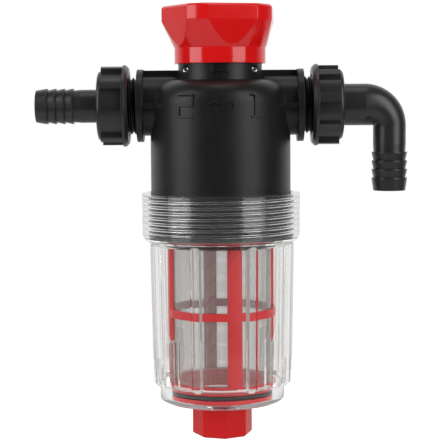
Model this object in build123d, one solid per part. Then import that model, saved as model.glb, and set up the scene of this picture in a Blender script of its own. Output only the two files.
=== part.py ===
from build123d import *
import math
import os

# Inline strainer: a black head with two union ports, a quarter-turn shut-off valve under a red knob,
# and a clear bowl that holds a mesh element. Water enters at the right port, passes the valve, goes
# down into the element, out through the mesh, and leaves by the left port.
# Millimetres, +Z up. Every piece is first made with its heights counted from the axis of the ports,
# and moved up at the end so that the drain cap's lower face lies at height zero.

# Clearances
SEAL_GAP = 0.2          # between a seal and the moving part that it presses on
RUN_GAP = 0.3           # between parts that turn or slide past each other
EASY_GAP = 0.4          # between parts that pass each other with room to spare
SLIP_GAP = 0.1          # between parts that fit together and stay so
ORING_GAP = 0.25        # between an O-ring and the bore that it turns in
OVERCUT = 1.0           # how far a cutting shape runs past the face that it opens

# Screw threads: flank angles, and how far a ridge or a mark is rooted in its wall
PIPE_FLANK_ANGLE = 30.0
BOWL_FLANK_ANGLE = 15.0
RIDGE_ROOTING = 0.3
THREAD_LINER = 1.5      # wall that carries an inner thread, in one with the nut round it

# Port thread, a one inch pipe thread
PORT_THREAD_R = 16.62
PORT_THREAD_DEPTH = 1.2
PORT_THREAD_PITCH = 2.309
PORT_THREAD_CREST = 0.35
PORT_THREAD_GAP = 0.25
PORT_THREAD_LENGTH = 13.8

# Bowl thread
BOWL_THREAD_DEPTH = 1.6
BOWL_THREAD_PITCH = 3.2
BOWL_THREAD_CREST = 0.9
BOWL_THREAD_GAP = 0.3
BOWL_THREAD_LENGTH = 22.0

# Drain thread, a half inch pipe thread
DRAIN_THREAD_R = 10.48
DRAIN_THREAD_DEPTH = 0.95
DRAIN_THREAD_PITCH = 1.814
DRAIN_THREAD_CREST = 0.25
DRAIN_THREAD_GAP = 0.25

# Head
HEAD_R = 41.1
HEAD_WALL = 3.3
HEAD_DEPTH = 74.5       # port axis to the lower edge of the skirt
SHOULDER_Z = 14.8
SHOULDER_FILLET = 13.0
SKIRT_STEP = 24.5       # height of the thicker end that carries the thread
SKIRT_PROUD = 0.3       # how far the thread's root stands out from the head
SPIGOT_INSET = 3.7      # from the outside of the cage to the outside of the spigot
SPIGOT_WALL = 3.0
SPIGOT_SETBACK = 0.5
SLEEVE_WALL = 3.0
SLEEVE_FLOOR = 3.0
SLEEVE_CONE = 6.0

# Ports
PORT_TUBE_R = 17.5
PORT_BORE_R = 12.5
PORT_DISC_STEP = 4.6    # how far the disc stands out from the thread
PORT_DISC_START = 45.0
PORT_DISC_THICK = 3.6
DUCT_WALL = 2.8
WEB_TOP = 20.6
WEB_THICK = 3.0
SIDE_WEB_THICK = 2.4
SIDE_WEB_REACH = 20.0

# Neck
NECK_WALL = 2.9
NECK_TOP = 32.0
NECK_LEDGE = 16.8
NECK_LEDGE_WIDTH = 2.6

# Retaining clip
CLIP_WIRE_R = 1.0
CLIP_INSET = 1.2        # from the outside of the rotor's head to the middle of a leg
CLIP_Z = 20.9
CLIP_HOLE_R = 1.8
CLIP_PROUD = 0.2
CLIP_BEND_R = 4.0

# Frame moulded on the front of the neck
FRAME_WIDTH = 10.2
FRAME_LOW = 18.5
FRAME_HEIGHT = 5.3
FRAME_BAR = 1.3
FRAME_PROUD = 0.7

# Valve rotor
BARREL_R = 18.6
BARREL_WALL = 3.6
BARREL_LOW = 16.3
WINDOW_R = 11.5
ROTOR_ROOF = 12.4
ROTOR_HEAD_TOP = 33.0
ROTOR_BOSS_R = 12.0
ROTOR_RIM = 4.4         # wall round the pocket in the rotor's head
ROTOR_POCKET_DEPTH = 8.5
STEM_SQUARE = 12.0
STEM_LENGTH = 11.5
STEM_HOLE_DEPTH = 16.0
ORING_R = 1.15
ORING_GROOVE_WIDTH = 2.6
UPPER_ORING_Z = 14.9
LOWER_ORING_Z = -14.0
STOP_ANGLE = 16.0
STOP_HEIGHT = 1.6
STOP_TRAVEL = 90.0

# Knob
KNOB_SKIRT_WALL = 1.7
KNOB_FLARE = 7.4        # how far the cone widens above the band
KNOB_LOW = 24.2
KNOB_BAND_HEIGHT = 9.1
KNOB_CONE_HEIGHT = 15.4
KNOB_CROWN_HEIGHT = 8.75
KNOB_SIDES = 5
KNOB_FLAT_STEP = 0.3    # how far outside the band a flat begins
KNOB_FLAT_DEPTH = 3.2   # how deep the upright part of a flat lies in the crown
KNOB_FLAT_FROM_FRONT = 14.0
KNOB_EDGE = 1.2
KNOB_ROOF = 4.8
KNOB_HUB_R = 11.5
KNOB_RECESS_R = 7.5
KNOB_RECESS_DEPTH = 4.0
SCREW_SHANK_R = 2.4
SCREW_HEAD_R = 4.6
SCREW_HEAD_HEIGHT = 2.8
SCREW_END_GAP = 0.7
SCREW_CROSS = 1.0
SCREW_CROSS_REACH = 2.8

# Union nuts
NUT_WALL = 2.13
NUT_LENGTH = 18.1
NUT_END_WALL = 3.7
NUT_FLANGE_STEP = 3.35
NUT_FLANGE_THICK = 3.3
NUT_FLANGE_CHAMFER = 1.7
NUT_FILLET = 2.2
NUT_MOUTH = 1.8
NUT_BARS = 8
NUT_BAR_STEP = 2.7
NUT_BAR_WIDTH = 5.0
NUT_BAR_LENGTH = 12.6
OUTLET_BAR_TURN = 32.0  # angle of a bar above the front
INLET_BAR_TURN = 55.5

# Union gaskets and the flanges of the hose tails
GASKET_THICK = 2.0
TAIL_FLANGE_THICK = 2.8
TAIL_COLLAR_R = 12.6
TAIL_BORE_R = 7.2

# Barbs, the same on both hose tails
BARB_CREST_R = 10.4
BARB_ROOT_R = 9.35
BARB_TIP_R = 9.4
BARB_PITCH = 5.05
BARB_LAND = 0.6
BARB_COUNT = 4

# Straight tail and elbow
TAIL_R = 9.7
TAIL_PLAIN = 14.8
TAIL_TIP = 6.4
ELBOW_LEG = 12.9
ELBOW_BEND_R = 24.5
ELBOW_DROP_R = 9.6
ELBOW_PLAIN = 15.9
ELBOW_TIP = 7.2
ELBOW_HEEL = 8.0        # half width of the fill in the inner corner
BEND_STEPS = 4

# Bowl
COLLAR_WALL = 3.3
COLLAR_DEPTH = 25.5
COLLAR_RIM = 1.0        # height of the plain rim above the thread
COLLAR_STEP = 6.6       # from the outside of the collar to the outside of the bowl's wall
COLLAR_EDGE_RISE = 1.7  # lower edge of the collar above the ledge inside it
COLLAR_EDGE_IN = 1.3
COLLAR_EDGE_DROP = 3.2
COLLAR_FOOT_OUT = 2.4
COLLAR_FOOT_DROP = 5.5
COLLAR_FOOT_ROUND = 1.0
BOWL_DRAFT = 1.4
BOWL_WALL = 2.8
BOWL_DEPTH = 86.4
FOOT_STEP = 1.6
FOOT_EDGE = 1.0
RECESS_INSET = 1.6      # from the outside of the cage to the recess in the foot
RECESS_DEPTH = 9.0
BOWL_FLOOR = 1.7
BOWL_RIBS = 8
BOWL_RIB_WIDTH = 5.3
BOWL_RIB_TOP_PROUD = 4.3
BOWL_RIB_LOW_PROUD = 4.1
BOWL_RIB_START = 2.9
BOWL_RIB_END = 1.2
BOWL_RIB_ROUND = 3.0
BOWL_RIB_FROM_FRONT = 24.6
FIN_ANGLES = (50.0, 130.0, 230.0, 310.0)
FIN_WIDTH = 3.0
FIN_HEIGHT = 27.9
SPOUT_LENGTH = 15.7
SPOUT_BORE_R = 6.5

# Drain cap
CAP_CORNER_R = 17.8
CAP_SIDES = 8
CAP_FLOOR = 4.0
CAP_CHAMFER = 0.9
CAP_FROM_FRONT = 5.5
DRAIN_GASKET_THICK = 1.6

# Bowl gasket and filter element
BOWL_GASKET_THICK = 1.9
TOP_GASKET_THICK = 2.3
TOP_GASKET_INSET = 0.5
CAGE_R = 31.9
CAGE_WALL = 2.3
CAGE_LIP = 3.2
CAGE_LIP_THICK = 1.4
CAGE_TOP_RING = 2.9
CAGE_MID_RING = 4.6
CAGE_MID_SHARE = 0.516  # where the middle ring lies between the top and the low ring
CAGE_LOW_RING = 1.0
CAGE_LIFT = 0.3
CAGE_FOOT_WALL = 3.9
CAGE_RIBS = 4
CAGE_RIB_OUTER = 5.9
CAGE_RIB_INNER = 8.7
CAGE_RIB_FROM_FRONT = 14.5
FOOT_RING_R = 1.25
FOOT_RING_RISE = 4.0    # from the floor of the recess to the middle of the O-ring
FOOT_RING_GROOVE = 2.9
MESH_THICK = 0.5
MESH_SINK = 4.0         # how far the mesh reaches down into the cage's foot

# Marks in relief on the front of the head
RELIEF = 0.7
ARROW_LENGTH = 16.3
ARROW_HEAD_LENGTH = 6.2
ARROW_HEAD_HEIGHT = 7.3
ARROW_SHAFT_HEIGHT = 4.0
ARROW_LINE = 0.8
DIGIT_HEIGHT = 14.0
DIGIT_WIDTH = 9.0
DIGIT_FOOT = 5.0
DIGIT_LINE = 1.2
DIGIT_OFFSET = 20.0

# Distances along a port, counted outward from the vertical axis
port_disc_end = PORT_DISC_START + PORT_DISC_THICK
port_end = port_disc_end + PORT_THREAD_LENGTH
gasket_start = port_end + SEAL_GAP
flange_start = gasket_start + GASKET_THICK + SEAL_GAP
flange_end = flange_start + TAIL_FLANGE_THICK
nut_shoulder = flange_end + RUN_GAP
nut_end = nut_shoulder + NUT_END_WALL
nut_start = nut_end - NUT_LENGTH

# Heights, counted from the port axis
skirt_end = -HEAD_DEPTH
skirt_top = skirt_end + SKIRT_STEP
spigot_end = skirt_end + SPIGOT_SETBACK
bowl_gasket_top = skirt_end - SEAL_GAP
bowl_gasket_low = bowl_gasket_top - BOWL_GASKET_THICK
bowl_ledge = bowl_gasket_low - SEAL_GAP
bowl_rim = bowl_ledge + COLLAR_DEPTH
thread_low = skirt_end + RUN_GAP
bowl_shelf = bowl_ledge - BOWL_DEPTH
recess_floor = bowl_shelf - RECESS_DEPTH
foot_low = recess_floor - BOWL_FLOOR
spout_end = foot_low - SPOUT_LENGTH
drain_gasket_top = spout_end - SEAL_GAP
drain_gasket_low = drain_gasket_top - DRAIN_GASKET_THICK
cap_low = drain_gasket_low - CAP_FLOOR
cap_high = foot_low - RUN_GAP
cage_top = spigot_end - SEAL_GAP - TOP_GASKET_THICK
cage_shelf = bowl_shelf + CAGE_LIFT
cage_low = recess_floor + RUN_GAP
foot_ring_z = recess_floor + FOOT_RING_RISE
stem_top = ROTOR_HEAD_TOP + STEM_LENGTH
knob_band_top = KNOB_LOW + KNOB_BAND_HEIGHT
knob_cone_top = knob_band_top + KNOB_CONE_HEIGHT
knob_top = knob_cone_top + KNOB_CROWN_HEIGHT
port_height = -cap_low

# Radii that follow from a fit
port_root_r = PORT_THREAD_R - PORT_THREAD_DEPTH
port_disc_r = PORT_THREAD_R + PORT_DISC_STEP
bowl_thread_r = HEAD_R + SKIRT_PROUD + BOWL_THREAD_DEPTH
collar_bore_r = bowl_thread_r + BOWL_THREAD_GAP
collar_r = collar_bore_r + COLLAR_WALL
bowl_top_r = collar_r - COLLAR_STEP
bowl_low_r = bowl_top_r - BOWL_DRAFT
foot_r = bowl_low_r - FOOT_STEP
head_bore_r = HEAD_R - HEAD_WALL
barrel_bore_r = BARREL_R - BARREL_WALL
barrel_seat_r = BARREL_R + EASY_GAP
sleeve_r = barrel_seat_r + SLEEVE_WALL
sleeve_floor_z = -BARREL_LOW - RUN_GAP
neck_bore_r = barrel_seat_r + NECK_LEDGE_WIDTH
neck_r = neck_bore_r + NECK_WALL
rotor_head_r = neck_bore_r - RUN_GAP
rotor_head_low = NECK_LEDGE + RUN_GAP
rotor_ring_r = barrel_seat_r - ORING_GAP - ORING_R
clip_leg_x = rotor_head_r - CLIP_INSET
knob_bore_r = neck_r + RUN_GAP + SEAL_GAP
knob_band_r = knob_bore_r + KNOB_SKIRT_WALL
knob_top_r = knob_band_r + KNOB_FLARE
nut_bore_r = PORT_THREAD_R + PORT_THREAD_GAP
nut_r = nut_bore_r + THREAD_LINER + NUT_WALL
nut_bar_r = nut_r + NUT_BAR_STEP
nut_flange_r = nut_r + NUT_FLANGE_STEP
nut_hole_r = TAIL_COLLAR_R + EASY_GAP
elbow_leg_r = TAIL_COLLAR_R - EASY_GAP
spigot_r = CAGE_R - SPIGOT_INSET
recess_r = CAGE_R - RECESS_INSET
cage_bore_r = CAGE_R - CAGE_WALL
cage_lip_r = cage_bore_r - CAGE_LIP
cage_foot_r = recess_r - EASY_GAP
foot_ring_r = recess_r - RUN_GAP - FOOT_RING_R
mesh_r = cage_bore_r - SEAL_GAP

# Ridge shapes of the three threads: pitch, width of the crest, flank angle
port_ridge = (PORT_THREAD_PITCH, PORT_THREAD_CREST, PIPE_FLANK_ANGLE)
bowl_ridge = (BOWL_THREAD_PITCH, BOWL_THREAD_CREST, BOWL_FLANK_ANGLE)
drain_ridge = (DRAIN_THREAD_PITCH, DRAIN_THREAD_CREST, PIPE_FLANK_ANGLE)

FRONT = -90.0           # direction of the front, as an angle from +X
BASE = (Align.CENTER, Align.CENTER, Align.MIN)


def rod(radius, low, high):
    """Cylinder on the vertical axis between two heights."""
    return Pos(0, 0, low) * Cylinder(radius, high - low, align=BASE)


def ring(outer, inner, low, high):
    """Tube on the vertical axis between two heights."""
    return rod(outer, low, high) - rod(inner, low - OVERCUT, high + OVERCUT)


def turned(points):
    """Solid turned about the vertical axis from a closed outline of (radius, height) points."""
    outline = Polyline(*[(radius, 0, height) for radius, height in points], close=True)
    return revolve(make_face(outline), Axis.Z)


def torus(ring_r, wire_r, height):
    """O-ring on the vertical axis."""
    return Pos(0, 0, height) * Torus(ring_r, wire_r)


def block(x, y, z):
    """Box between pairs of limits."""
    size = Box(x[1] - x[0], y[1] - y[0], z[1] - z[0])
    return Pos((x[0] + x[1]) / 2, (y[0] + y[1]) / 2, (z[0] + z[1]) / 2) * size


def outward(shape, side):
    """Lays a shape made about +Z along the port, +1 for the inlet and -1 for the outlet."""
    return Rot(0, 90 * side, 0) * shape


def around(shape, angles):
    """Copies of a shape made at +X, turned to each angle."""
    copies = [Rot(0, 0, angle) * shape for angle in angles]
    return Part() + copies


def even_angles(count, first):
    return [first + 360 / count * i for i in range(count)]


def sector(outer, inner, low, high, start, span):
    """Part of a ring between two angles."""
    piece = ring(outer, inner, low, high)
    wedge = Polyline((0, 0), rim_point(outer, start), rim_point(outer, start + span / 2),
                     rim_point(outer, start + span), close=True)
    return piece & Pos(0, 0, low) * extrude(make_face(wedge), high - low)


def rim_point(radius, angle):
    """Point well outside a radius, so that a wedge of such points covers the whole sector."""
    reach = 2 * radius
    return (reach * math.cos(math.radians(angle)), reach * math.sin(math.radians(angle)))


def threaded_tube(root_r, crest_r, wall_r, ridge, low, high, start):
    """Tube between root_r and wall_r with a right-hand thread ridge, cut square at both ends.
    start is the height of the ridge's middle at +X. The ridge points outward where crest_r is the
    larger radius, and inward where it is the smaller one."""
    pitch, crest_width, flank = ridge
    rooted_r = root_r - math.copysign(RIDGE_ROOTING, crest_r - root_r)
    half_crest = crest_width / 2
    half_rooted = half_crest + abs(crest_r - rooted_r) * math.tan(math.radians(flank))
    first = start - pitch * (math.ceil((start - low) / pitch) + 1)
    length = pitch * (math.ceil((high - first) / pitch) + 1)
    profile = Polyline((rooted_r, 0, -half_rooted), (crest_r, 0, -half_crest),
                       (crest_r, 0, half_crest), (rooted_r, 0, half_rooted), close=True)
    path = Helix(pitch=pitch, height=length, radius=root_r)
    winding = Pos(0, 0, first) * sweep(make_face(profile), path=path, is_frenet=True)
    tube = ring(max(root_r, wall_r), min(root_r, wall_r), first - pitch, first + length + pitch)
    window = ring(max(crest_r, wall_r) + OVERCUT, min(crest_r, wall_r) - OVERCUT, low, high)
    return (tube + winding) & window


def screw(thread_r, depth, bore_r, ridge, ends, margins, start):
    """Tube with an outer thread between two heights, plain over a margin at each end."""
    root_r = thread_r - depth
    low = ends[0] + margins[0]
    high = ends[1] - margins[1]
    return (ring(root_r, bore_r, ends[0], low)
            + threaded_tube(root_r, thread_r, bore_r, ridge, low, high, start)
            + ring(root_r, bore_r, high, ends[1]))


def socket(thread_r, depth, gap, wall_r, ridge, ends, start):
    """Tube with an inner thread. It lies half a pitch beside the outer thread that it turns on."""
    return threaded_tube(thread_r + gap, thread_r - depth + gap, wall_r, ridge,
                         ends[0], ends[1], start + ridge[0] / 2)


def port_outside():
    """Tube and disc of one port, made about +Z."""
    return (rod(PORT_TUBE_R, barrel_seat_r, port_disc_end - OVERCUT)
            + rod(port_disc_r, PORT_DISC_START, port_disc_end))


def port_screw():
    return screw(PORT_THREAD_R, PORT_THREAD_DEPTH, PORT_BORE_R, port_ridge,
                 (port_disc_end, port_end), (RUN_GAP, RUN_GAP), port_end)


def skirt():
    """Lower end of the head's shell, with the thread that carries the bowl."""
    return screw(bowl_thread_r, BOWL_THREAD_DEPTH, head_bore_r, bowl_ridge,
                 (skirt_end, skirt_top), (RUN_GAP, SKIRT_STEP - BOWL_THREAD_LENGTH), skirt_end)


def head_outside():
    shell = rod(HEAD_R, skirt_top, SHOULDER_Z)
    shell = fillet(shell.edges().sort_by(Axis.Z)[-1], SHOULDER_FILLET)
    shell += rod(spigot_r, spigot_end, 0)
    shell += rod(neck_r, 0, NECK_TOP)
    for side in (1, -1):
        shell += outward(port_outside(), side)
        reach = sorted((side * neck_bore_r, side * (port_disc_end - OVERCUT)))
        shell += block(reach, (-WEB_THICK / 2, WEB_THICK / 2), (0, WEB_TOP))
        shell += block(reach, (-SIDE_WEB_REACH, SIDE_WEB_REACH),
                       (-SIDE_WEB_THICK / 2, SIDE_WEB_THICK / 2))
    return shell


def head_water_space():
    """Annular space round the spigot, without the duct that crosses it from the inlet."""
    top = SHOULDER_Z - HEAD_WALL
    corner = min(SHOULDER_FILLET - HEAD_WALL, head_bore_r - spigot_r - OVERCUT)
    space = ring(head_bore_r, spigot_r, skirt_end - OVERCUT, top)
    space = fillet(space.edges().filter_by(GeomType.CIRCLE).group_by(Axis.Z)[-1]
                   .sort_by(SortBy.RADIUS)[-1], corner)
    floor = sleeve_floor_z - SLEEVE_FLOOR
    space += turned([(sleeve_r, top), (spigot_r + OVERCUT, top),
                     (spigot_r + OVERCUT, floor - SLEEVE_CONE), (spigot_r, floor - SLEEVE_CONE),
                     (sleeve_r, floor)])
    duct = outward(rod(PORT_BORE_R + DUCT_WALL, 0, HEAD_R), 1)
    return space - duct


def head_bores():
    """Valve seat, element spigot and the bores of both ports."""
    floor = sleeve_floor_z - SLEEVE_FLOOR
    spigot_bore = spigot_r - SPIGOT_WALL
    bores = turned([(0, NECK_TOP + OVERCUT), (neck_bore_r, NECK_TOP + OVERCUT),
                    (neck_bore_r, NECK_LEDGE), (barrel_seat_r, NECK_LEDGE),
                    (barrel_seat_r, sleeve_floor_z), (barrel_bore_r, sleeve_floor_z),
                    (barrel_bore_r, floor), (spigot_bore, floor - SLEEVE_CONE - OVERCUT),
                    (spigot_bore, skirt_end - OVERCUT), (0, skirt_end - OVERCUT)])
    bores += outward(rod(PORT_BORE_R, 0, port_end + OVERCUT), 1)
    bores += outward(rod(PORT_BORE_R, sleeve_r, port_end + OVERCUT), -1)
    return bores


def clip_holes():
    holes = Part()
    for side in (1, -1):
        hole = Rot(90, 0, 0) * Cylinder(CLIP_HOLE_R, 2 * (neck_r + OVERCUT))
        holes += Pos(side * clip_leg_x, 0, CLIP_Z) * hole
    return holes


def on_front(sketch_faces, radius, height, proud):
    """Raises a flat outline, drawn in (x, z), off a round front face of the given radius."""
    slab = extrude(sketch_faces, amount=2 * radius, dir=(0, -1, 0))
    band = ring(radius + proud, radius - RIDGE_ROOTING, -height, height)
    return slab & band


def flat_outline(points):
    """Face in the upright plane through the axis, from (x, z) points."""
    return make_face(Polyline(*[(x, 0, z) for x, z in points], close=True))


def arrow_points(length, head_length, head_half, shaft_half):
    tip = -length / 2
    neck = tip + head_length
    tail = length / 2
    return [(tip, 0), (neck, head_half), (neck, shaft_half), (tail, shaft_half),
            (tail, -shaft_half), (neck, -shaft_half), (neck, -head_half)]


def flow_arrow():
    """Outline of an arrow towards the outlet."""
    slope = math.hypot(ARROW_HEAD_LENGTH, ARROW_HEAD_HEIGHT / 2) / (ARROW_HEAD_HEIGHT / 2)
    tip_inset = ARROW_LINE * slope
    outer = arrow_points(ARROW_LENGTH, ARROW_HEAD_LENGTH, ARROW_HEAD_HEIGHT / 2,
                         ARROW_SHAFT_HEIGHT / 2)
    inner_head = ARROW_HEAD_LENGTH - tip_inset - ARROW_LINE
    inner_half = inner_head * (ARROW_HEAD_HEIGHT / 2) / ARROW_HEAD_LENGTH
    inner_shaft = min(ARROW_SHAFT_HEIGHT / 2 - ARROW_LINE, inner_half)
    tip = -ARROW_LENGTH / 2 + tip_inset
    neck = tip + inner_head
    tail = ARROW_LENGTH / 2 - ARROW_LINE
    inner = [(tip, 0), (neck, inner_half), (neck, inner_shaft), (tail, inner_shaft),
             (tail, -inner_shaft), (neck, -inner_shaft), (neck, -inner_half)]
    outline = flat_outline(outer) - flat_outline(inner)
    return on_front(outline, HEAD_R, ARROW_HEAD_HEIGHT, RELIEF)


def bar(x, z):
    return flat_outline([(x[0], z[0]), (x[1], z[0]), (x[1], z[1]), (x[0], z[1])])


def digit_one(x):
    """Plain figure one: a stem on a foot."""
    half = DIGIT_HEIGHT / 2
    line = DIGIT_LINE / 2
    return (bar((x - line, x + line), (-half, half))
            + bar((x - DIGIT_FOOT / 2, x + DIGIT_FOOT / 2), (-half, -half + DIGIT_LINE))
            + bar((x - DIGIT_FOOT / 2, x), (half - DIGIT_LINE, half)))


def digit_two(x):
    """Plain square figure two."""
    half = DIGIT_HEIGHT / 2
    wide = DIGIT_WIDTH / 2
    line = DIGIT_LINE
    strokes = bar((x - wide, x + wide), (half - line, half))
    strokes += bar((x + wide - line, x + wide), (-line / 2, half))
    strokes += bar((x - wide, x + wide), (-line / 2, line / 2))
    strokes += bar((x - wide, x - wide + line), (-half, line / 2))
    strokes += bar((x - wide, x + wide), (-half, -half + line))
    return strokes


def port_numbers():
    """Inlet is port 1 and outlet is port 2."""
    marks = on_front(digit_one(DIGIT_OFFSET), HEAD_R, DIGIT_HEIGHT, RELIEF)
    return marks + on_front(digit_two(-DIGIT_OFFSET), HEAD_R, DIGIT_HEIGHT, RELIEF)


def neck_frame():
    """Small open frame on the front of the neck: two uprights and a lower bar."""
    half = FRAME_WIDTH / 2
    upright = (FRAME_LOW, FRAME_LOW + FRAME_HEIGHT)
    bar_low = FRAME_LOW + FRAME_BAR / 2
    frame = bar((-half, -half + FRAME_BAR), upright)
    frame += bar((half - FRAME_BAR, half), upright)
    frame += bar((-half, half), (bar_low, bar_low + FRAME_BAR))
    return on_front(frame, neck_r, NECK_TOP, FRAME_PROUD)


def stop_lug():
    """Lug on the neck's ledge, which ends the rotor's quarter turn both ways."""
    return sector(neck_bore_r - RUN_GAP, barrel_seat_r + RUN_GAP, NECK_LEDGE - OVERCUT,
                  NECK_LEDGE + STOP_HEIGHT, -STOP_ANGLE / 2, STOP_ANGLE)


def head_body():
    head = head_outside() - head_water_space() - head_bores() - clip_holes()
    head += stop_lug()
    head += flow_arrow()
    head += port_numbers()
    head += neck_frame()
    head += skirt()
    for side in (1, -1):
        head += outward(port_screw(), side)
    return head


def retaining_clip():
    """Steel wire bent to a U. Its legs pass the neck and hold the rotor by its groove."""
    front = -math.sqrt(neck_r ** 2 - clip_leg_x ** 2) - CLIP_PROUD
    back = neck_r + CLIP_WIRE_R + RUN_GAP
    route = FilletPolyline((-clip_leg_x, front, CLIP_Z), (-clip_leg_x, back, CLIP_Z),
                           (clip_leg_x, back, CLIP_Z), (clip_leg_x, front, CLIP_Z),
                           radius=CLIP_BEND_R)
    section = Plane(origin=(-clip_leg_x, front, CLIP_Z), z_dir=(0, 1, 0)) * Circle(CLIP_WIRE_R)
    return sweep(section, path=route)


def oring_groove(outer, depth, height, width):
    return ring(outer + OVERCUT, outer - depth, height - width / 2, height + width / 2)


def valve_rotor():
    """Hollow barrel with a side window, a head held by the clip, and a square for the knob."""
    rotor = rod(BARREL_R, -BARREL_LOW, rotor_head_low + OVERCUT)
    rotor += rod(rotor_head_r, rotor_head_low, ROTOR_HEAD_TOP)
    rotor += Pos(0, 0, ROTOR_HEAD_TOP) * (
        Box(STEM_SQUARE, STEM_SQUARE, STEM_LENGTH, align=BASE))
    rotor -= rod(barrel_bore_r, -BARREL_LOW - OVERCUT, ROTOR_ROOF)
    rotor -= outward(rod(WINDOW_R, 0, BARREL_R + OVERCUT), 1)
    groove_depth = BARREL_R - rotor_ring_r + ORING_R + SLIP_GAP
    for height in (UPPER_ORING_Z, LOWER_ORING_Z):
        rotor -= oring_groove(BARREL_R, groove_depth, height, ORING_GROOVE_WIDTH)
    clip_floor = clip_leg_x - CLIP_WIRE_R - RUN_GAP
    rotor -= ring(rotor_head_r + OVERCUT, clip_floor, CLIP_Z - CLIP_WIRE_R - RUN_GAP,
                  CLIP_Z + CLIP_WIRE_R + RUN_GAP)
    rotor -= ring(rotor_head_r - ROTOR_RIM, ROTOR_BOSS_R, ROTOR_HEAD_TOP - ROTOR_POCKET_DEPTH,
                  ROTOR_HEAD_TOP + OVERCUT)
    rotor -= rod(SCREW_SHANK_R + SLIP_GAP, stem_top - STEM_HOLE_DEPTH, stem_top + OVERCUT)
    slack = math.degrees(RUN_GAP / barrel_seat_r)
    rotor -= sector(rotor_head_r + OVERCUT, barrel_seat_r, rotor_head_low - OVERCUT,
                    NECK_LEDGE + STOP_HEIGHT + RUN_GAP, -STOP_ANGLE / 2 - slack,
                    STOP_ANGLE + STOP_TRAVEL + 2 * slack)
    return rotor


def knob_flat():
    """Shape that cuts one flat, made at +X. It leans in below the crown."""
    reach = 2 * knob_top_r
    depth = knob_top_r - KNOB_FLAT_DEPTH
    side = Polyline((knob_band_r + KNOB_FLAT_STEP, knob_band_top), (reach, knob_band_top),
                    (reach, knob_top + OVERCUT), (depth, knob_top + OVERCUT),
                    (depth, knob_cone_top), close=True)
    return Rot(90, 0, 0) * Pos(0, 0, -reach / 2) * extrude(make_face(side), reach)


def valve_knob():
    knob = turned([(0, KNOB_LOW), (knob_band_r, KNOB_LOW), (knob_band_r, knob_band_top),
                   (knob_top_r, knob_cone_top), (knob_top_r, knob_top), (0, knob_top)])
    knob -= around(knob_flat(), even_angles(KNOB_SIDES, FRONT + KNOB_FLAT_FROM_FRONT))
    knob = chamfer(knob.edges().group_by(Axis.Z)[-1], KNOB_EDGE)
    knob -= ring(knob_bore_r, KNOB_HUB_R, KNOB_LOW - OVERCUT, knob_top - KNOB_ROOF)
    knob -= rod(KNOB_HUB_R + OVERCUT, KNOB_LOW - OVERCUT, ROTOR_HEAD_TOP)
    square = STEM_SQUARE + 2 * SLIP_GAP
    knob -= Pos(0, 0, ROTOR_HEAD_TOP - OVERCUT) * Box(
        square, square, STEM_LENGTH + SLIP_GAP + OVERCUT, align=BASE)
    knob -= rod(SCREW_SHANK_R + RUN_GAP, ROTOR_HEAD_TOP, knob_top)
    knob -= rod(KNOB_RECESS_R, knob_top - KNOB_RECESS_DEPTH, knob_top + OVERCUT)
    return knob


def knob_screw():
    """Pan-head screw with a cross recess."""
    seat = knob_top - KNOB_RECESS_DEPTH
    head = fillet(rod(SCREW_HEAD_R, seat, seat + SCREW_HEAD_HEIGHT).edges().sort_by(Axis.Z)[-1],
                  SCREW_HEAD_HEIGHT / 2)
    screw_end = stem_top - STEM_HOLE_DEPTH + SCREW_END_GAP
    body = head + rod(SCREW_SHANK_R, screw_end, seat + OVERCUT)
    long = (-SCREW_CROSS_REACH, SCREW_CROSS_REACH)
    thin = (-SCREW_CROSS / 2, SCREW_CROSS / 2)
    depth = (seat + SCREW_HEAD_HEIGHT / 2, seat + SCREW_HEAD_HEIGHT + OVERCUT)
    body -= block(long, thin, depth) + block(thin, long, depth)
    return body


def nut(bar_angle):
    """Union nut made about +Z, with a ribbed body, a flange at its mouth and an inner thread."""
    body = rod(nut_r, nut_start, nut_end)
    body = fillet(body.edges().sort_by(Axis.Z)[-1], NUT_FILLET)
    flange_top = nut_start + NUT_FLANGE_THICK
    body += turned([(0, nut_start), (nut_flange_r - NUT_FLANGE_CHAMFER, nut_start),
                    (nut_flange_r, nut_start + NUT_FLANGE_CHAMFER), (nut_flange_r, flange_top),
                    (0, flange_top)])
    one_bar = block((nut_r - OVERCUT, nut_bar_r + OVERCUT), (-NUT_BAR_WIDTH / 2, NUT_BAR_WIDTH / 2),
                    (flange_top - OVERCUT, flange_top + NUT_BAR_LENGTH))
    bars = around(one_bar, even_angles(NUT_BARS, bar_angle))
    body += bars & rod(nut_bar_r, nut_start, nut_end)
    liner_r = nut_bore_r + THREAD_LINER
    thread_start = nut_start + NUT_MOUTH
    body -= rod(nut_bore_r, nut_start - OVERCUT, nut_shoulder)
    body -= rod(nut_hole_r, nut_start, nut_end + OVERCUT)
    body -= rod(liner_r, thread_start, port_end)
    body -= turned([(0, nut_start - OVERCUT), (nut_bore_r + NUT_MOUTH + OVERCUT, nut_start - OVERCUT),
                    (nut_bore_r, thread_start), (0, thread_start)])
    return body + socket(PORT_THREAD_R, PORT_THREAD_DEPTH, PORT_THREAD_GAP, liner_r, port_ridge,
                         (thread_start, port_end), port_end)


def outlet_nut():
    return outward(nut(OUTLET_BAR_TURN - 90), -1)


def inlet_nut():
    return outward(nut(-90 - INLET_BAR_TURN), 1)


def union_gasket():
    return ring(port_root_r - SLIP_GAP, PORT_BORE_R, gasket_start, gasket_start + GASKET_THICK)


def barb_outline(first, tip_length):
    """(radius, distance) points of the barbs and the tip. Each barb has a narrow land."""
    points = []
    for i in range(BARB_COUNT):
        crest = first + BARB_PITCH * i
        points += [(BARB_ROOT_R, crest - BARB_LAND / 2), (BARB_CREST_R, crest - BARB_LAND / 2),
                   (BARB_CREST_R, crest + BARB_LAND / 2)]
    end = first + BARB_PITCH * (BARB_COUNT - 1) + tip_length
    return points + [(BARB_TIP_R, end)], end


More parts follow.
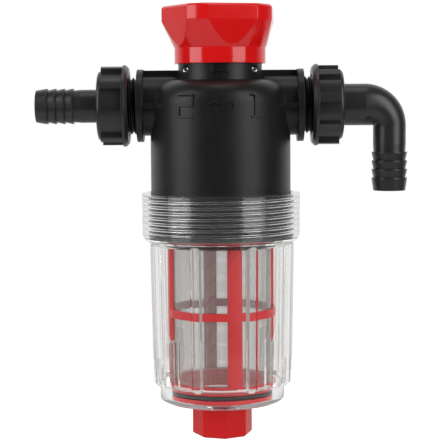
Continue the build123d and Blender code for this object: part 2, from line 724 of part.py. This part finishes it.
def tail_flange():
    """Flange and collar that the union nut holds, made about +Z."""
    return (rod(port_root_r, flange_start, flange_end)
            + rod(TAIL_COLLAR_R, flange_start, nut_end - RUN_GAP))


def outlet_tail():
    first = nut_end + TAIL_PLAIN
    barbs, end = barb_outline(first, TAIL_TIP)
    tube = turned([(0, flange_start), (TAIL_R, flange_start), (TAIL_R, first - BARB_PITCH)]
                  + barbs + [(0, end)])
    tail = tail_flange() + tube - rod(TAIL_BORE_R, flange_start - OVERCUT, end + OVERCUT)
    return outward(tail, -1)


def quarter_bend(centre, reach, radius):
    """Bend from the +X direction down to -Z, lofted through round sections. reach is the distance
    of its middle line from the centre, and each of reach and radius has a first and last value."""
    sections = []
    for step in range(BEND_STEPS + 1):
        part = step / BEND_STEPS
        angle = math.radians(90 * part)
        here = reach[0] + (reach[1] - reach[0]) * part
        place = (centre[0] + here * math.sin(angle), 0, centre[1] + here * math.cos(angle))
        plane = Plane(origin=place, x_dir=(0, 1, 0), z_dir=(math.cos(angle), 0, -math.sin(angle)))
        sections.append(plane * Circle(radius[0] + (radius[1] - radius[0]) * part))
    return loft(sections)


def inlet_elbow():
    centre = (nut_end + ELBOW_LEG, elbow_leg_r - ELBOW_BEND_R)
    drop_reach = ELBOW_BEND_R - ELBOW_DROP_R
    leg_reach = ELBOW_BEND_R - elbow_leg_r
    drop_x = centre[0] + drop_reach
    first = ELBOW_PLAIN + leg_reach
    barbs, end = barb_outline(first, ELBOW_TIP)
    drop = turned([(0, leg_reach), (ELBOW_DROP_R, leg_reach), (ELBOW_DROP_R, first - BARB_PITCH)]
                  + barbs + [(0, end)])
    elbow = outward(tail_flange() + rod(elbow_leg_r, nut_end - RUN_GAP - OVERCUT, centre[0]), 1)
    elbow += quarter_bend(centre, (leg_reach, drop_reach), (elbow_leg_r, ELBOW_DROP_R))
    elbow += Pos(drop_x, 0, 0) * Rot(180, 0, 0) * drop
    heel = block((centre[0] - OVERCUT, drop_x - ELBOW_DROP_R / 2), (-ELBOW_HEEL, ELBOW_HEEL),
                 (-elbow_leg_r, -elbow_leg_r / 2))
    elbow += heel & outward(rod(elbow_leg_r, nut_end, drop_x), 1)
    elbow -= outward(rod(TAIL_BORE_R, flange_start - OVERCUT, centre[0]), 1)
    elbow -= quarter_bend(centre, (leg_reach, drop_reach), (TAIL_BORE_R, TAIL_BORE_R))
    elbow -= Pos(drop_x, 0, 0) * rod(TAIL_BORE_R, -end - OVERCUT, centre[1])
    return elbow


def bowl_outside():
    edge = bowl_ledge + COLLAR_EDGE_RISE
    step = bowl_shelf - BOWL_WALL / 2
    return turned([(0, thread_low), (collar_r, thread_low), (collar_r, edge),
                   (collar_r - COLLAR_EDGE_IN, edge - COLLAR_EDGE_DROP),
                   (bowl_top_r + COLLAR_FOOT_OUT, edge - COLLAR_FOOT_DROP),
                   (bowl_top_r, edge - COLLAR_FOOT_DROP - COLLAR_FOOT_ROUND),
                   (bowl_low_r, step + FOOT_STEP), (foot_r, step), (foot_r, foot_low + FOOT_EDGE),
                   (foot_r - FOOT_EDGE, foot_low), (0, foot_low)])


def bowl_inside():
    top_r = bowl_top_r - BOWL_WALL
    low_r = bowl_low_r - BOWL_WALL
    return turned([(0, bowl_rim), (collar_bore_r, bowl_rim),
                   (collar_bore_r, bowl_ledge), (top_r, bowl_ledge), (low_r, bowl_shelf),
                   (recess_r, bowl_shelf), (recess_r, recess_floor), (0, recess_floor)])


def bowl_ribs():
    """Upright outer ribs with round ends, whose outer face leans in towards the foot."""
    top = bowl_ledge - BOWL_RIB_START
    low = bowl_shelf - BOWL_RIB_END
    top_r = bowl_top_r + BOWL_RIB_TOP_PROUD
    low_r = bowl_low_r + BOWL_RIB_LOW_PROUD
    root_r = foot_r - BOWL_WALL / 2
    slot = Pos(0, (top + low) / 2) * SlotOverall(top - low, BOWL_RIB_WIDTH, rotation=90)
    upright = Plane(origin=(0, 0, 0), x_dir=(0, 1, 0), z_dir=(1, 0, 0)) * slot
    envelope = turned([(root_r, low), (low_r - BOWL_RIB_ROUND, low), (low_r, low + BOWL_RIB_ROUND),
                       (top_r, top), (root_r, top)])
    angles = even_angles(BOWL_RIBS, FRONT + BOWL_RIB_FROM_FRONT)
    return around(extrude(upright, collar_r) & envelope, angles)


def bowl_fins():
    """Short fins inside with round tops, which guide the cage."""
    reach = (CAGE_R + EASY_GAP, bowl_low_r - BOWL_WALL / 2)
    top = bowl_shelf + FIN_HEIGHT - FIN_WIDTH / 2
    fin = block(reach, (-FIN_WIDTH / 2, FIN_WIDTH / 2), (bowl_shelf - OVERCUT, top))
    fin += Pos(reach[0], 0, top) * Rot(0, 90, 0) * Cylinder(FIN_WIDTH / 2, reach[1] - reach[0],
                                                           align=BASE)
    return around(fin, [FRONT + angle for angle in FIN_ANGLES])


def bowl_collar():
    """Threaded collar, plain at its rim."""
    thread_high = bowl_rim - COLLAR_RIM
    return (socket(bowl_thread_r, BOWL_THREAD_DEPTH, BOWL_THREAD_GAP, collar_r, bowl_ridge,
                   (thread_low, thread_high), skirt_end)
            + ring(collar_r, collar_bore_r, thread_high, bowl_rim))


def drain_spout():
    return screw(DRAIN_THREAD_R, DRAIN_THREAD_DEPTH, SPOUT_BORE_R, drain_ridge,
                 (spout_end, foot_low), (RUN_GAP, RUN_GAP), spout_end)


def bowl():
    body = bowl_outside() + bowl_ribs() - bowl_inside() + bowl_fins()
    body -= rod(SPOUT_BORE_R, foot_low - OVERCUT, recess_floor + OVERCUT)
    return body + drain_spout() + bowl_collar()


def bowl_gasket():
    return ring(collar_bore_r - EASY_GAP, head_bore_r + EASY_GAP, bowl_gasket_low,
                bowl_gasket_top)


def drain_cap():
    section = Rot(0, 0, FRONT + CAP_FROM_FRONT) * RegularPolygon(CAP_CORNER_R, CAP_SIDES)
    cap = Pos(0, 0, cap_low) * extrude(section, cap_high - cap_low)
    cap = chamfer(cap.edges().group_by(Axis.Z)[0], CAP_CHAMFER)
    bore_r = DRAIN_THREAD_R + DRAIN_THREAD_GAP
    liner_r = bore_r + THREAD_LINER
    thread_high = cap_high - RUN_GAP
    cap -= rod(bore_r, cap_low + CAP_FLOOR, cap_high + OVERCUT)
    cap -= rod(liner_r, spout_end, thread_high)
    return cap + socket(DRAIN_THREAD_R, DRAIN_THREAD_DEPTH, DRAIN_THREAD_GAP, liner_r, drain_ridge,
                        (spout_end, thread_high), spout_end)


def drain_gasket():
    return ring(DRAIN_THREAD_R, SPOUT_BORE_R, drain_gasket_low + SLIP_GAP, drain_gasket_top)


def cage_rib():
    """One rib at +X, wider on its inner side."""
    inner_r = cage_bore_r - SEAL_GAP
    outer_r = CAGE_R + OVERCUT
    outer = CAGE_RIB_OUTER / 2
    inner = CAGE_RIB_INNER / 2
    section = Polyline((inner_r, -inner), (cage_bore_r, -inner), (CAGE_R, -outer), (outer_r, -outer),
                       (outer_r, outer), (CAGE_R, outer), (cage_bore_r, inner), (inner_r, inner),
                       close=True)
    return Pos(0, 0, cage_shelf) * extrude(make_face(section), cage_top - cage_shelf)


def filter_cage():
    """Cage of three rings and upright ribs, with a lip over the mesh and a foot in the bowl."""
    middle = cage_top - CAGE_MID_SHARE * (cage_top - cage_shelf)
    cage = ring(CAGE_R, cage_lip_r, cage_top - CAGE_LIP_THICK, cage_top)
    cage += ring(CAGE_R, cage_bore_r, cage_top - CAGE_TOP_RING, cage_top)
    cage += ring(CAGE_R, cage_bore_r, middle - CAGE_MID_RING / 2, middle + CAGE_MID_RING / 2)
    cage += ring(CAGE_R, cage_bore_r, cage_shelf, cage_shelf + CAGE_LOW_RING)
    cage += ring(cage_foot_r, cage_foot_r - CAGE_FOOT_WALL, cage_low, cage_shelf + CAGE_LOW_RING)
    ribs = around(cage_rib(), even_angles(CAGE_RIBS, FRONT + CAGE_RIB_FROM_FRONT))
    cage += ribs & ring(CAGE_R, cage_bore_r - SEAL_GAP, cage_shelf, cage_top)
    cage -= ring(mesh_r + SLIP_GAP, mesh_r - MESH_THICK - SLIP_GAP, mesh_low() - SLIP_GAP,
                 cage_shelf + CAGE_LOW_RING + SLIP_GAP)
    groove_depth = cage_foot_r - (foot_ring_r - FOOT_RING_R - SLIP_GAP)
    cage -= oring_groove(cage_foot_r, groove_depth, foot_ring_z, FOOT_RING_GROOVE)
    return cage


def mesh_low():
    """Lower edge of the mesh, in a groove of the cage's foot."""
    return cage_shelf + CAGE_LOW_RING - MESH_SINK


def filter_mesh():
    """Mesh sleeve as a thin tube, held between the cage's lip and its foot."""
    return ring(mesh_r, mesh_r - MESH_THICK, mesh_low(), cage_top - CAGE_LIP_THICK - SLIP_GAP)


def element_top_gasket():
    return ring(CAGE_R - TOP_GASKET_INSET, cage_lip_r, cage_top, cage_top + TOP_GASKET_THICK)


NODES = {
    "head_body": head_body,
    "retaining_clip": retaining_clip,
    "valve_knob": valve_knob,
    "valve_rotor": valve_rotor,
    "knob_screw": knob_screw,
    "rotor_oring_upper": lambda: torus(rotor_ring_r, ORING_R, UPPER_ORING_Z),
    "rotor_oring_lower": lambda: torus(rotor_ring_r, ORING_R, LOWER_ORING_Z),
    "bowl": bowl,
    "bowl_gasket": bowl_gasket,
    "filter_cage": filter_cage,
    "filter_mesh": filter_mesh,
    "element_top_gasket": element_top_gasket,
    "element_bottom_oring": lambda: torus(foot_ring_r, FOOT_RING_R, foot_ring_z),
    "drain_cap": drain_cap,
    "drain_gasket": drain_gasket,
    "outlet_nut": outlet_nut,
    "outlet_tail": outlet_tail,
    "outlet_gasket": lambda: outward(union_gasket(), -1),
    "inlet_nut": inlet_nut,
    "inlet_elbow": inlet_elbow,
    "inlet_gasket": lambda: outward(union_gasket(), 1),
}

os.makedirs("parts", exist_ok=True)
for name, make in NODES.items():
    export_step(Pos(0, 0, port_height) * make(), f"parts/{name}.step")
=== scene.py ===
import math

import bpy
import numpy as np
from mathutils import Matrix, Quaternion, Vector


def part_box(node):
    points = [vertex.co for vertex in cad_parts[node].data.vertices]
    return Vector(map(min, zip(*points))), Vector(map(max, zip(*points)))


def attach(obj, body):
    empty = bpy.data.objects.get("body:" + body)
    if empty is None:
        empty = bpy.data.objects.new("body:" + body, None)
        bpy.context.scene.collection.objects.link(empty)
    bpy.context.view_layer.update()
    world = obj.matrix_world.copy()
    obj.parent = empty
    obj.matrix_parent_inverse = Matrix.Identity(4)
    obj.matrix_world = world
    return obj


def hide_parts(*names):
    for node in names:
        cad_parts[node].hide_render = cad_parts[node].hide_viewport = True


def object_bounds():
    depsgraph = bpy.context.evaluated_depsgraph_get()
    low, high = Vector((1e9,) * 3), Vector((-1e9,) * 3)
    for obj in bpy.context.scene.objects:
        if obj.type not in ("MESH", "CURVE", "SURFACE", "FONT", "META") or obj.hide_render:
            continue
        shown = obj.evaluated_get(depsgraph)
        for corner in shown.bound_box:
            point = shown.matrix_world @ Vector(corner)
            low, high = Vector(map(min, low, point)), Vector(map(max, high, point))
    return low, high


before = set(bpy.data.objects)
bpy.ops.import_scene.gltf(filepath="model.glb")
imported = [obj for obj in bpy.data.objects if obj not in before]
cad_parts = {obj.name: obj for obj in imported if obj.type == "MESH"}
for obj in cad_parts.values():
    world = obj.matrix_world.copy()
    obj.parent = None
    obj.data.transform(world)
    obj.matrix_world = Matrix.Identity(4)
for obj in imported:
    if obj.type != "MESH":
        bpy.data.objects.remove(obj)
cad_low, cad_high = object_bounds()

# Looks of an inline strainer: black moulded head with a red knob, clear bowl, red cage and steel mesh.
# Metres, +Z up, the front is -Y.

MM = 0.001

# Camera, as the photograph was taken
CAMERA_DISTANCE = 0.7835
CAMERA_ASIDE = -0.00065
CAMERA_PITCH = 4.93
CAMERA_ROLL = 0.39
LENS = 108.7
SENSOR = 36.0

# Two upright softboxes at the front corners and one overhead
LEFT_TURN = -64.0
RIGHT_TURN = 48.5
STRIP_DISTANCE = 1.3
STRIP_WIDTH = 0.78
STRIP_HEIGHT = 1.7
STRIP_GLOW = 3.6
TOP_HEIGHT = 1.5
TOP_SIZE = 0.6
TOP_GLOW = 2.0

# Round floor, low enough for the unscrewed bowl and cap. The camera sees it lifted to white.
FLOOR_DROP = 40 * MM
FLOOR_REACH = 0.45
FLOOR_CORNERS = 96
FLOOR_GREY = 0.80
FLOOR_ROUGHNESS = 0.9
FLOOR_LIFT = 0.60
LIFT_START = 0.3 * FLOOR_REACH
LIFT_FULL = 0.8 * FLOOR_REACH

# Brightness of the surroundings: for matt surfaces, mirrored in shiny ones, and through clear ones.
# The backdrop starts and is full where a direction's +Y part has these sizes.
ROOM_FILL = 0.30
ROOM_DARK = 0.05
THROUGH_BACK = 0.86
THROUGH_FRONT = 0.60
BACKDROP_START = 0.25
BACKDROP_FULL = 0.65

# Where a glossy ray has been mirrored this many times inside the clear plastic, the plastic glows grey
# at this brightness: a painted glow that stands in for the backdrop seen through its ribs
TRAPPED_DEPTH = 4
PAINTED_RIB_GLOW = 0.32
HALF_STEP = 0.5         # two whole numbers closer than this are the same

# Middle part of a noise, softened edges and indexes of refraction
NOISE_LOW = 0.3
NOISE_HIGH = 0.7
BEVEL_SAMPLES = 6
SOLID_IOR = 1.5
CLEAR_IOR = 1.45

# Woven mesh of round wire, drawn with three sides
WIRE_PITCH = 0.75 * MM
WIRE_RADIUS = 0.09 * MM
WIRE_SIDES = 3


def link(tree, source, target):
    tree.links.new(source, target)


def add_node(tree, kind, **values):
    """Adds a shader node and sets its named inputs."""
    node = tree.nodes.new(kind)
    for name, value in values.items():
        node.inputs[name.replace("_", " ")].default_value = value
    return node


def new_material(name):
    material = bpy.data.materials.new(name)
    material.use_nodes = True
    tree = material.node_tree
    return material, tree, tree.nodes["Principled BSDF"]


def object_coords(tree):
    return add_node(tree, "ShaderNodeTexCoord").outputs["Object"]


def noise(tree, coords, scale, detail=2.0):
    node = add_node(tree, "ShaderNodeTexNoise", Scale=scale, Detail=detail)
    link(tree, coords, node.inputs["Vector"])
    return node.outputs["Fac"]


def spread(tree, value, low, high):
    """Maps the middle part of a noise to the range low to high."""
    node = add_node(tree, "ShaderNodeMapRange", From_Min=NOISE_LOW, From_Max=NOISE_HIGH,
                    To_Min=low, To_Max=high)
    link(tree, value, node.inputs["Value"])
    return node.outputs["Result"]


def blend_colours(tree, factor, first, second):
    node = tree.nodes.new("ShaderNodeMix")
    node.data_type = "RGBA"
    colours = [s for s in node.inputs if s.type == "RGBA"]
    colours[0].default_value = (*first, 1)
    colours[1].default_value = (*second, 1)
    link(tree, factor, node.inputs["Factor"])
    return [s for s in node.outputs if s.type == "RGBA"][0]


def soft_edges(tree, radius):
    """Normal that rounds the edges of a moulding."""
    node = tree.nodes.new("ShaderNodeBevel")
    node.samples = BEVEL_SAMPLES
    node.inputs["Radius"].default_value = radius
    return node.outputs["Normal"]


def bump(tree, height, normal, depth):
    """Normal with a noise as relief, over another normal or None."""
    node = add_node(tree, "ShaderNodeBump", Strength=1.0, Distance=depth)
    link(tree, height, node.inputs["Height"])
    if normal is not None:
        link(tree, normal, node.inputs["Normal"])
    return node.outputs["Normal"]


def moulded_plastic(name, dark, light, roughness, flow=40.0, sink_flow=68.0, grain=1500.0,
                    grain_depth=0.02, sink_depth=0.05, edge=0.35, specular=0.5):
    """Moulded plastic: colour and gloss vary with the flow of the melt, over a fine grain and
    shallow sink marks, with softened edges. Depths and the edge's radius are in mm."""
    material, tree, shader = new_material(name)
    coords = object_coords(tree)
    flow_marks = noise(tree, coords, flow, detail=4.0)
    fine = noise(tree, coords, grain)
    sink = noise(tree, coords, sink_flow, detail=1.0)
    link(tree, blend_colours(tree, flow_marks, dark, light), shader.inputs["Base Color"])
    link(tree, spread(tree, flow_marks, *roughness), shader.inputs["Roughness"])
    normal = bump(tree, sink, soft_edges(tree, edge * MM), sink_depth * MM)
    normal = bump(tree, fine, normal, grain_depth * MM)
    link(tree, normal, shader.inputs["Normal"])
    shader.inputs["IOR"].default_value = SOLID_IOR
    shader.inputs["Specular IOR Level"].default_value = specular
    return material


def clear_plastic(name):
    """Clear moulded plastic with a slight haze. It lets lamps through, so that what is inside is lit.
    Where a ray is mirrored round inside its ribs, it shows a painted grey glow, not black."""
    material, tree, shader = new_material(name)
    coords = object_coords(tree)
    wave = noise(tree, coords, 25.0, detail=0.0)
    haze = noise(tree, coords, 120.0, detail=3.0)
    link(tree, blend_colours(tree, haze, (0.945, 0.942, 0.93), (0.975, 0.973, 0.965)),
         shader.inputs["Base Color"])
    link(tree, spread(tree, haze, low=0.0, high=0.03), shader.inputs["Roughness"])
    edges = soft_edges(tree, radius=0.4 * MM)
    link(tree, bump(tree, wave, edges, depth=0.05 * MM), shader.inputs["Normal"])
    shader.inputs["IOR"].default_value = CLEAR_IOR
    shader.inputs["Specular Tint"].default_value = (0.35, 0.35, 0.35, 1)
    shader.inputs["Transmission Weight"].default_value = 1.0
    # Painted glow: the plastic glows grey for glossy rays mirrored TRAPPED_DEPTH times inside it
    path = tree.nodes.new("ShaderNodeLightPath")
    deep = tree.nodes.new("ShaderNodeMath")
    deep.operation = "COMPARE"
    link(tree, path.outputs["Glossy Depth"], deep.inputs[0])
    deep.inputs[1].default_value = TRAPPED_DEPTH
    deep.inputs[2].default_value = HALF_STEP
    shader.inputs["Emission Color"].default_value = (PAINTED_RIB_GLOW, PAINTED_RIB_GLOW, PAINTED_RIB_GLOW, 1)
    link(tree, choose(tree, path.outputs["Is Glossy Ray"], 0.0, deep.outputs[0]),
         shader.inputs["Emission Strength"])
    open_way = add_node(tree, "ShaderNodeBsdfTransparent", Color=(0.86, 0.86, 0.85, 1))
    mix = tree.nodes.new("ShaderNodeMixShader")
    link(tree, path.outputs["Is Shadow Ray"], mix.inputs[0])
    link(tree, shader.outputs[0], mix.inputs[1])
    link(tree, open_way.outputs[0], mix.inputs[2])
    link(tree, mix.outputs[0], tree.nodes["Material Output"].inputs["Surface"])
    return material


def steel(name, low, high, scale):
    """Bright drawn steel with fine scuffs. Its roughness goes from low to high."""
    material, tree, shader = new_material(name)
    coords = object_coords(tree)
    scuffs = noise(tree, coords, scale, detail=5.0)
    link(tree, blend_colours(tree, scuffs, (0.52, 0.52, 0.51), (0.70, 0.69, 0.67)),
         shader.inputs["Base Color"])
    link(tree, spread(tree, scuffs, low, high), shader.inputs["Roughness"])
    link(tree, bump(tree, scuffs, None, depth=0.01 * MM), shader.inputs["Normal"])
    shader.inputs["Metallic"].default_value = 1.0
    return material


def rubber(name):
    """Matt black rubber with a bloom."""
    material, tree, shader = new_material(name)
    coords = object_coords(tree)
    bloom = noise(tree, coords, 150.0, detail=4.0)
    grain = noise(tree, coords, 2500.0)
    link(tree, blend_colours(tree, bloom, (0.012, 0.012, 0.012), (0.022, 0.022, 0.021)),
         shader.inputs["Base Color"])
    link(tree, spread(tree, bloom, low=0.55, high=0.75), shader.inputs["Roughness"])
    link(tree, bump(tree, grain, None, depth=0.02 * MM), shader.inputs["Normal"])
    return material


def give(finish, *names):
    """Puts a material on CAD nodes."""
    for name in names:
        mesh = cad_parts[name].data
        mesh.materials.clear()
        mesh.materials.append(finish)


def woven_sleeve():
    """Plain weave of steel wire in the place of the mesh sleeve: upright wires and hoops, where
    each wire passes outside one crossing wire and inside the next."""
    low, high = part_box("filter_mesh")
    wire = WIRE_RADIUS
    middle = (high.x - low.x) / 2 - 2 * wire
    columns = 2 * round(math.pi * middle / WIRE_PITCH)
    hoops = round((high.z - low.z - 2 * wire) / WIRE_PITCH)
    angle = 2 * np.pi * np.arange(columns) / columns
    height = np.linspace(low.z + 2 * wire, high.z - 2 * wire, hoops)
    column, hoop = np.meshgrid(np.arange(columns), np.arange(hoops), indexing="ij")
    over = np.where((column + hoop) % 2 == 0, wire, -wire)
    corner = 2 * np.pi * np.arange(WIRE_SIDES) / WIRE_SIDES
    outward, across = np.cos(corner), np.sin(corner)
    radius = middle + over[..., None] + wire * outward
    shift = angle[column][..., None] + wire * across / middle
    upright = np.stack([radius * np.cos(shift), radius * np.sin(shift),
                        np.broadcast_to(height[hoop][..., None], radius.shape)], axis=-1)
    radius = middle - over[..., None] + wire * outward
    turn = np.broadcast_to(angle[column][..., None], radius.shape)
    level = np.stack([radius * np.cos(turn), radius * np.sin(turn),
                      height[hoop][..., None] + wire * across], axis=-1)
    warp = wire_piece("mesh_upright_wires", upright, False)
    weft = wire_piece("mesh_hoop_wires", level.transpose(1, 0, 2, 3), True)
    return warp, weft


def wire_piece(name, rows, closed):
    """Mesh of many wires. rows holds wire, place along the wire, corner and (x, y, z)."""
    wires, places, corners, _ = rows.shape
    index = np.arange(wires * places * corners).reshape(wires, places, corners)
    ahead = np.roll(index, -1, axis=1)
    ends = []
    if not closed:
        ends = index[:, 0, ::-1].tolist() + index[:, -1].tolist()
        index, ahead = index[:, :-1], ahead[:, :-1]
    faces = np.stack([index, np.roll(index, -1, axis=2), np.roll(ahead, -1, axis=2), ahead], axis=-1)
    mesh = bpy.data.meshes.new(name)
    mesh.from_pydata(rows.reshape(-1, 3).tolist(), [], faces.reshape(-1, 4).tolist() + ends)
    mesh.polygons.foreach_set("use_smooth", [True] * len(mesh.polygons))
    mesh.update()
    piece = bpy.data.objects.new(name, mesh)
    bpy.context.scene.collection.objects.link(piece)
    return piece


def dress_nodes():
    """Materials of the CAD nodes, and the woven sleeve."""
    black = moulded_plastic("black moulded plastic", (0.006, 0.006, 0.006), (0.009, 0.009, 0.009),
                            (0.36, 0.42), specular=0.32, edge=0.5)
    fitting = moulded_plastic("black fitting plastic", (0.015, 0.015, 0.015), (0.019, 0.019, 0.019),
                              (0.30, 0.36), specular=0.5, edge=0.5)
    red = moulded_plastic("red glossy plastic", (0.65, 0.005, 0.006), (0.70, 0.008, 0.008),
                          (0.10, 0.16), grain_depth=0.002, sink_depth=0.05, edge=0.8)
    cap_red = moulded_plastic("drain cap red plastic", (0.54, 0.004, 0.006), (0.60, 0.008, 0.008),
                              (0.16, 0.22), grain_depth=0.004, sink_depth=0.03, edge=1.2, specular=0.25)
    cage_red = moulded_plastic("cage red plastic", (0.42, 0.008, 0.011), (0.50, 0.012, 0.016),
                               (0.30, 0.42), grain_depth=0.010)
    pale = moulded_plastic("rotor pale plastic", (0.58, 0.58, 0.55), (0.66, 0.66, 0.63), (0.35, 0.45))
    give(black, "head_body")
    give(fitting, "outlet_nut", "inlet_nut", "outlet_tail", "inlet_elbow")
    give(red, "valve_knob")
    give(cap_red, "drain_cap")
    give(cage_red, "filter_cage")
    give(pale, "valve_rotor")
    give(clear_plastic("clear bowl plastic"), "bowl")
    give(steel("bright steel", low=0.18, high=0.32, scale=900.0), "retaining_clip", "knob_screw")
    give(rubber("black rubber"), "rotor_oring_upper", "rotor_oring_lower", "bowl_gasket",
         "element_top_gasket", "element_bottom_oring", "drain_gasket", "outlet_gasket",
         "inlet_gasket")
    wire_steel = steel("mesh wire steel", low=0.30, high=0.45, scale=1200.0)
    for piece in woven_sleeve():
        piece.data.materials.append(wire_steel)
        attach(piece, "element")
        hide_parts("filter_mesh")


def softbox(name, place, aim, size, glow):
    """Area lamp of an even glow, where 1 is white, that the camera doesn't see."""
    lamp = bpy.data.lights.new(name, "AREA")
    lamp.shape = "RECTANGLE"
    lamp.size, lamp.size_y = size
    lamp.energy = glow * math.pi * size[0] * size[1]
    item = bpy.data.objects.new(name, lamp)
    item.location = place
    item.rotation_mode = "QUATERNION"
    item.rotation_quaternion = (Vector(aim) - Vector(place)).to_track_quat("-Z", "Y")
    item.visible_camera = False
    bpy.context.scene.collection.objects.link(item)


def lights():
    """The two upright strips stand on the level of the object's lower end."""
    for turn, name in ((LEFT_TURN, "left strip"), (RIGHT_TURN, "right strip")):
        angle = math.radians(turn)
        place = (STRIP_DISTANCE * math.sin(angle), -STRIP_DISTANCE * math.cos(angle),
                 STRIP_HEIGHT / 2)
        softbox(name, place, (0, 0, STRIP_HEIGHT / 2), (STRIP_WIDTH, STRIP_HEIGHT), STRIP_GLOW)
    softbox("overhead", (0, 0, TOP_HEIGHT), (0, 0, 0), (TOP_SIZE, TOP_SIZE), TOP_GLOW)


def choose(tree, flag, otherwise, value):
    """The value where the flag is 1, and otherwise the other one. Each is a socket or a number."""
    node = tree.nodes.new("ShaderNodeMix")
    link(tree, flag, node.inputs["Factor"])
    for name, source in (("A", otherwise), ("B", value)):
        if isinstance(source, float):
            node.inputs[name].default_value = source
        else:
            link(tree, source, node.inputs[name])
    return node.outputs["Result"]


def floor():
    """Pale round floor. The camera sees it lifted to white, fully so towards its rim, with the
    shadow near the object. Through clear plastic it is as bright as the backdrop."""
    bpy.ops.mesh.primitive_circle_add(vertices=FLOOR_CORNERS, radius=FLOOR_REACH, fill_type="NGON",
                                      location=(0, 0, cad_low.z - FLOOR_DROP))
    plane = bpy.context.object
    plane.name = "floor"
    material, tree, shader = new_material("pale floor")
    shader.inputs["Roughness"].default_value = FLOOR_ROUGHNESS
    shader.inputs["Specular IOR Level"].default_value = 0.0
    shader.inputs["Emission Color"].default_value = (1, 1, 1, 1)
    reach = tree.nodes.new("ShaderNodeVectorMath")
    reach.operation = "LENGTH"
    link(tree, object_coords(tree), reach.inputs[0])
    lift = add_node(tree, "ShaderNodeMapRange", From_Min=LIFT_START, From_Max=LIFT_FULL,
                    To_Min=FLOOR_LIFT, To_Max=1.0)
    link(tree, reach.outputs["Value"], lift.inputs["Value"])
    path = tree.nodes.new("ShaderNodeLightPath")
    through = path.outputs["Is Transmission Ray"]
    seen = choose(tree, path.outputs["Is Camera Ray"], 0.0, lift.outputs["Result"])
    link(tree, choose(tree, through, FLOOR_GREY, 0.0), shader.inputs["Base Color"])
    link(tree, choose(tree, through, seen, THROUGH_BACK), shader.inputs["Emission Strength"])
    plane.data.materials.append(material)


def backdrop(tree, direction_y, front, back):
    """Brightness of a bright backdrop behind the object, which fades to a dim front."""
    node = add_node(tree, "ShaderNodeMapRange", From_Min=BACKDROP_START, From_Max=BACKDROP_FULL,
                    To_Min=front, To_Max=back)
    link(tree, direction_y, node.inputs["Value"])
    return node.outputs["Result"]


def surroundings():
    """White for the camera and a soft fill for matt surfaces. Shiny and clear ones show a bright
    backdrop behind the object and a dimmer room in front."""
    world = bpy.data.worlds.new("studio")
    bpy.context.scene.world = world
    world.use_nodes = True
    tree = world.node_tree
    path = tree.nodes.new("ShaderNodeLightPath")
    coords = tree.nodes.new("ShaderNodeTexCoord")
    parts = tree.nodes.new("ShaderNodeSeparateXYZ")
    link(tree, coords.outputs["Generated"], parts.inputs[0])
    behind = parts.outputs["Y"]
    mirrored = backdrop(tree, behind, ROOM_DARK, 1.0)
    through = backdrop(tree, behind, THROUGH_FRONT, THROUGH_BACK)
    glow = choose(tree, path.outputs["Is Glossy Ray"], ROOM_FILL, mirrored)
    glow = choose(tree, path.outputs["Is Transmission Ray"], glow, through)
    glow = choose(tree, path.outputs["Is Camera Ray"], glow, 1.0)
    background = tree.nodes["Background"]
    background.inputs["Color"].default_value = (1, 1, 1, 1)
    link(tree, glow, background.inputs["Strength"])


def camera():
    tail_low, tail_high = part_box("outlet_tail")
    port_height = (tail_low.z + tail_high.z) / 2
    data = bpy.data.cameras.new("camera")
    data.lens = LENS
    data.sensor_width = SENSOR
    item = bpy.data.objects.new("camera", data)
    item.location = (CAMERA_ASIDE, -CAMERA_DISTANCE, port_height)
    item.rotation_mode = "QUATERNION"
    level = Quaternion((1, 0, 0), math.radians(90 - CAMERA_PITCH))
    item.rotation_quaternion = level @ Quaternion((0, 0, 1), math.radians(-CAMERA_ROLL))
    bpy.context.scene.collection.objects.link(item)
    bpy.context.scene.camera = item


bpy.context.scene.view_settings.view_transform = "Standard"
dress_nodes()
floor()
surroundings()
lights()
camera()
